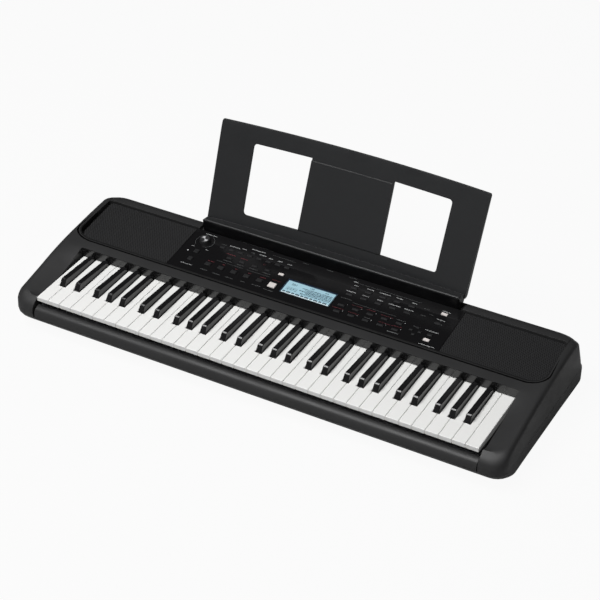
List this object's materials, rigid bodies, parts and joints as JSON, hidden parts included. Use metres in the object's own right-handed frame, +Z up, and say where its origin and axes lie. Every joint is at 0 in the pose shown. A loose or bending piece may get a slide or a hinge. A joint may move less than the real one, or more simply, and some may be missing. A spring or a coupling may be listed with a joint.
{
  "type": "arranger keyboard",
  "caption": "Portable arranger keyboard with full-size keys, a sloping control panel with a small display, wide speaker grilles and a bowed music rest that lifts out.",
  "frame": {"origin": "centre of the whole object's outline in plan, on the plane that its rubber feet stand on", "axes": "+X to the player's right along the keys, +Y away from the player towards the sockets, +Z up"},
  "size_m": [0.941, 0.4087, 0.2865],
  "materials": {
    "case_plastic": "satin black",
    "panel_plastic": "semi-gloss black",
    "white_key_plastic": "gloss white",
    "black_key_plastic": "gloss black",
    "rest_plastic": "satin charcoal",
    "button_rubber": "satin dark grey",
    "pale_button_plastic": "satin pale grey",
    "dial_plastic": "spun dark grey",
    "display_lens": "clear lens over a lit pale blue display",
    "circuit_board": "solder resist green",
    "contact_steel": "nickel plated",
    "soft_rubber": "matte black",
    "frame_plastic": "moulded dark grey",
    "speaker_black": "coated paper and steel, black"
  },
  "bodies": {
    "keyboard": {"upper_case": "case_plastic", "lower_case": "case_plastic", "key_slip": "case_plastic", "key_frame": "frame_plastic", "key_contact_board": "circuit_board", "key_contact_rubber": "soft_rubber", "control_panel": "panel_plastic", "display_window": "display_lens", "display_module": "frame_plastic", "panel_board": "circuit_board", "speaker_grille_left": "case_plastic", "speaker_grille_right": "case_plastic", "speaker_left": "speaker_black", "speaker_right": "speaker_black", "main_board": "circuit_board", "rear_sockets": "frame_plastic", "foot_front_left": "soft_rubber", "foot_front_right": "soft_rubber", "foot_rear_left": "soft_rubber", "foot_rear_right": "soft_rubber", "battery_contacts": "contact_steel"},
    "white_keys_cegb_2": {"white_keys_cegb_2": "white_key_plastic"},
    "white_keys_dfa_2": {"white_keys_dfa_2": "white_key_plastic"},
    "black_keys_2": {"black_keys_2": "black_key_plastic"},
    "white_keys_cegb_3": {"white_keys_cegb_3": "white_key_plastic"},
    "white_keys_dfa_3": {"white_keys_dfa_3": "white_key_plastic"},
    "black_keys_3": {"black_keys_3": "black_key_plastic"},
    "key_c4": {"key_c4": "white_key_plastic"},
    "key_d4": {"key_d4": "white_key_plastic"},
    "key_e4": {"key_e4": "white_key_plastic"},
    "key_f4": {"key_f4": "white_key_plastic"},
    "key_g4": {"key_g4": "white_key_plastic"},
    "key_a4": {"key_a4": "white_key_plastic"},
    "key_b4": {"key_b4": "white_key_plastic"},
    "key_cs4": {"key_cs4": "black_key_plastic"},
    "key_ds4": {"key_ds4": "black_key_plastic"},
    "key_fs4": {"key_fs4": "black_key_plastic"},
    "key_gs4": {"key_gs4": "black_key_plastic"},
    "key_as4": {"key_as4": "black_key_plastic"},
    "white_keys_cegb_5": {"white_keys_cegb_5": "white_key_plastic"},
    "white_keys_dfa_5": {"white_keys_dfa_5": "white_key_plastic"},
    "black_keys_5": {"black_keys_5": "black_key_plastic"},
    "white_keys_cegb_6": {"white_keys_cegb_6": "white_key_plastic"},
    "white_keys_dfa_6": {"white_keys_dfa_6": "white_key_plastic"},
    "black_keys_6": {"black_keys_6": "black_key_plastic"},
    "music_rest": {"music_rest": "rest_plastic"},
    "battery_cover": {"battery_cover": "case_plastic"},
    "volume_dial": {"volume_dial": "dial_plastic"},
    "voice_buttons": {"voice_buttons": "button_rubber"},
    "style_buttons": {"style_buttons": "button_rubber"},
    "category_buttons": {"category_buttons": "button_rubber"},
    "number_buttons": {"number_buttons": "button_rubber"},
    "cursor_buttons": {"cursor_buttons": "button_rubber"},
    "function_buttons": {"function_buttons": "button_rubber"},
    "record_button": {"record_button": "pale_button_plastic"},
    "home_button": {"home_button": "pale_button_plastic"},
    "start_stop_button": {"start_stop_button": "pale_button_plastic"},
    "tempo_button": {"tempo_button": "pale_button_plastic"},
    "power_button": {"power_button": "button_rubber"},
    "mode_button": {"mode_button": "button_rubber"}
  },
  "joints": [
    {"name": "white_keys_cegb_2_hinge", "type": "hinge", "parent": "keyboard", "child": "white_keys_cegb_2", "pos_m": [-0.34075, -0.007, 0.068], "axis": [1, 0, 0], "range_deg": [0, 2.9], "stiffness_Nm_per_rad": 5.6, "springref_deg": -3.27},
    {"name": "white_keys_dfa_2_hinge", "type": "hinge", "parent": "keyboard", "child": "white_keys_dfa_2", "pos_m": [-0.34075, -0.007, 0.068], "axis": [1, 0, 0], "range_deg": [0, 2.9], "stiffness_Nm_per_rad": 4.2, "springref_deg": -3.27},
    {"name": "black_keys_2_hinge", "type": "hinge", "parent": "keyboard", "child": "black_keys_2", "pos_m": [-0.34025, -0.007, 0.068], "axis": [1, 0, 0], "range_deg": [0, 2.9], "stiffness_Nm_per_rad": 7, "springref_deg": -3.27},
    {"name": "white_keys_cegb_3_hinge", "type": "hinge", "parent": "keyboard", "child": "white_keys_cegb_3", "pos_m": [-0.17625, -0.007, 0.068], "axis": [1, 0, 0], "range_deg": [0, 2.9], "stiffness_Nm_per_rad": 5.6, "springref_deg": -3.27},
    {"name": "white_keys_dfa_3_hinge", "type": "hinge", "parent": "keyboard", "child": "white_keys_dfa_3", "pos_m": [-0.17625, -0.007, 0.068], "axis": [1, 0, 0], "range_deg": [0, 2.9], "stiffness_Nm_per_rad": 4.2, "springref_deg": -3.27},
    {"name": "black_keys_3_hinge", "type": "hinge", "parent": "keyboard", "child": "black_keys_3", "pos_m": [-0.17575, -0.007, 0.068], "axis": [1, 0, 0], "range_deg": [0, 2.9], "stiffness_Nm_per_rad": 7, "springref_deg": -3.27},
    {"name": "key_c4_hinge", "type": "hinge", "parent": "keyboard", "child": "key_c4", "pos_m": [-0.08225, -0.007, 0.068], "axis": [1, 0, 0], "range_deg": [0, 2.9], "stiffness_Nm_per_rad": 1.4, "springref_deg": -3.27},
    {"name": "key_d4_hinge", "type": "hinge", "parent": "keyboard", "child": "key_d4", "pos_m": [-0.05875, -0.007, 0.068], "axis": [1, 0, 0], "range_deg": [0, 2.9], "stiffness_Nm_per_rad": 1.4, "springref_deg": -3.27},
    {"name": "key_e4_hinge", "type": "hinge", "parent": "keyboard", "child": "key_e4", "pos_m": [-0.03525, -0.007, 0.068], "axis": [1, 0, 0], "range_deg": [0, 2.9], "stiffness_Nm_per_rad": 1.4, "springref_deg": -3.27},
    {"name": "key_f4_hinge", "type": "hinge", "parent": "keyboard", "child": "key_f4", "pos_m": [-0.01175, -0.007, 0.068], "axis": [1, 0, 0], "range_deg": [0, 2.9], "stiffness_Nm_per_rad": 1.4, "springref_deg": -3.27},
    {"name": "key_g4_hinge", "type": "hinge", "parent": "keyboard", "child": "key_g4", "pos_m": [0.01175, -0.007, 0.068], "axis": [1, 0, 0], "range_deg": [0, 2.9], "stiffness_Nm_per_rad": 1.4, "springref_deg": -3.27},
    {"name": "key_a4_hinge", "type": "hinge", "parent": "keyboard", "child": "key_a4", "pos_m": [0.03525, -0.007, 0.068], "axis": [1, 0, 0], "range_deg": [0, 2.9], "stiffness_Nm_per_rad": 1.4, "springref_deg": -3.27},
    {"name": "key_b4_hinge", "type": "hinge", "parent": "keyboard", "child": "key_b4", "pos_m": [0.05875, -0.007, 0.068], "axis": [1, 0, 0], "range_deg": [0, 2.9], "stiffness_Nm_per_rad": 1.4, "springref_deg": -3.27},
    {"name": "key_cs4_hinge", "type": "hinge", "parent": "keyboard", "child": "key_cs4", "pos_m": [-0.0737, -0.007, 0.068], "axis": [1, 0, 0], "range_deg": [0, 2.9], "stiffness_Nm_per_rad": 1.4, "springref_deg": -3.27},
    {"name": "key_ds4_hinge", "type": "hinge", "parent": "keyboard", "child": "key_ds4", "pos_m": [-0.0434, -0.007, 0.068], "axis": [1, 0, 0], "range_deg": [0, 2.9], "stiffness_Nm_per_rad": 1.4, "springref_deg": -3.27},
    {"name": "key_fs4_hinge", "type": "hinge", "parent": "keyboard", "child": "key_fs4", "pos_m": [-0.0034, -0.007, 0.068], "axis": [1, 0, 0], "range_deg": [0, 2.9], "stiffness_Nm_per_rad": 1.4, "springref_deg": -3.27},
    {"name": "key_gs4_hinge", "type": "hinge", "parent": "keyboard", "child": "key_gs4", "pos_m": [0.0238, -0.007, 0.068], "axis": [1, 0, 0], "range_deg": [0, 2.9], "stiffness_Nm_per_rad": 1.4, "springref_deg": -3.27},
    {"name": "key_as4_hinge", "type": "hinge", "parent": "keyboard", "child": "key_as4", "pos_m": [0.0512, -0.007, 0.068], "axis": [1, 0, 0], "range_deg": [0, 2.9], "stiffness_Nm_per_rad": 1.4, "springref_deg": -3.27},
    {"name": "white_keys_cegb_5_hinge", "type": "hinge", "parent": "keyboard", "child": "white_keys_cegb_5", "pos_m": [0.15275, -0.007, 0.068], "axis": [1, 0, 0], "range_deg": [0, 2.9], "stiffness_Nm_per_rad": 5.6, "springref_deg": -3.27},
    {"name": "white_keys_dfa_5_hinge", "type": "hinge", "parent": "keyboard", "child": "white_keys_dfa_5", "pos_m": [0.15275, -0.007, 0.068], "axis": [1, 0, 0], "range_deg": [0, 2.9], "stiffness_Nm_per_rad": 4.2, "springref_deg": -3.27},
    {"name": "black_keys_5_hinge", "type": "hinge", "parent": "keyboard", "child": "black_keys_5", "pos_m": [0.15325, -0.007, 0.068], "axis": [1, 0, 0], "range_deg": [0, 2.9], "stiffness_Nm_per_rad": 7, "springref_deg": -3.27},
    {"name": "white_keys_cegb_6_hinge", "type": "hinge", "parent": "keyboard", "child": "white_keys_cegb_6", "pos_m": [0.329, -0.007, 0.068], "axis": [1, 0, 0], "range_deg": [0, 2.9], "stiffness_Nm_per_rad": 7, "springref_deg": -3.27},
    {"name": "white_keys_dfa_6_hinge", "type": "hinge", "parent": "keyboard", "child": "white_keys_dfa_6", "pos_m": [0.31725, -0.007, 0.068], "axis": [1, 0, 0], "range_deg": [0, 2.9], "stiffness_Nm_per_rad": 4.2, "springref_deg": -3.27},
    {"name": "black_keys_6_hinge", "type": "hinge", "parent": "keyboard", "child": "black_keys_6", "pos_m": [0.31775, -0.007, 0.068], "axis": [1, 0, 0], "range_deg": [0, 2.9], "stiffness_Nm_per_rad": 7, "springref_deg": -3.27},
    {"name": "music_rest_lift", "type": "slide", "parent": "keyboard", "child": "music_rest", "axis": [0, 0.3955, 0.9184], "range_m": [0, 0.035]},
    {"name": "battery_cover_slide", "type": "slide", "parent": "keyboard", "child": "battery_cover", "axis": [0, 1, 0], "range_m": [0, 0.014]},
    {"name": "volume_dial_turn", "type": "hinge", "parent": "keyboard", "child": "volume_dial", "pos_m": [-0.236, 0.068, 0.09773], "axis": [0, -0.108, 0.9942], "range_deg": [-150, 150]},
    {"name": "voice_buttons_press", "type": "slide", "parent": "keyboard", "child": "voice_buttons", "axis": [0, 0.108, -0.9942], "range_m": [0, 0.0008], "stiffness_N_per_m": 800, "springref_m": -0.0008},
    {"name": "style_buttons_press", "type": "slide", "parent": "keyboard", "child": "style_buttons", "axis": [0, 0.108, -0.9942], "range_m": [0, 0.0008], "stiffness_N_per_m": 800, "springref_m": -0.0008},
    {"name": "category_buttons_press", "type": "slide", "parent": "keyboard", "child": "category_buttons", "axis": [0, 0.108, -0.9942], "range_m": [0, 0.0008], "stiffness_N_per_m": 800, "springref_m": -0.0008},
    {"name": "number_buttons_press", "type": "slide", "parent": "keyboard", "child": "number_buttons", "axis": [0, 0.108, -0.9942], "range_m": [0, 0.0008], "stiffness_N_per_m": 800, "springref_m": -0.0008},
    {"name": "cursor_buttons_press", "type": "slide", "parent": "keyboard", "child": "cursor_buttons", "axis": [0, 0.108, -0.9942], "range_m": [0, 0.0008], "stiffness_N_per_m": 800, "springref_m": -0.0008},
    {"name": "function_buttons_press", "type": "slide", "parent": "keyboard", "child": "function_buttons", "axis": [0, 0.108, -0.9942], "range_m": [0, 0.0008], "stiffness_N_per_m": 800, "springref_m": -0.0008},
    {"name": "record_button_press", "type": "slide", "parent": "keyboard", "child": "record_button", "axis": [0, 0.108, -0.9942], "range_m": [0, 0.0008], "stiffness_N_per_m": 800, "springref_m": -0.0008},
    {"name": "home_button_press", "type": "slide", "parent": "keyboard", "child": "home_button", "axis": [0, 0.108, -0.9942], "range_m": [0, 0.0008], "stiffness_N_per_m": 800, "springref_m": -0.0008},
    {"name": "start_stop_button_press", "type": "slide", "parent": "keyboard", "child": "start_stop_button", "axis": [0, 0.108, -0.9942], "range_m": [0, 0.0008], "stiffness_N_per_m": 800, "springref_m": -0.0008},
    {"name": "tempo_button_press", "type": "slide", "parent": "keyboard", "child": "tempo_button", "axis": [0, 0.108, -0.9942], "range_m": [0, 0.0008], "stiffness_N_per_m": 800, "springref_m": -0.0008},
    {"name": "power_button_press", "type": "slide", "parent": "keyboard", "child": "power_button", "axis": [0, 0.108, -0.9942], "range_m": [0, 0.0008], "stiffness_N_per_m": 800, "springref_m": -0.0008},
    {"name": "mode_button_press", "type": "slide", "parent": "keyboard", "child": "mode_button", "axis": [0, 0.108, -0.9942], "range_m": [0, 0.0008], "stiffness_N_per_m": 800, "springref_m": -0.0008}
  ]
}
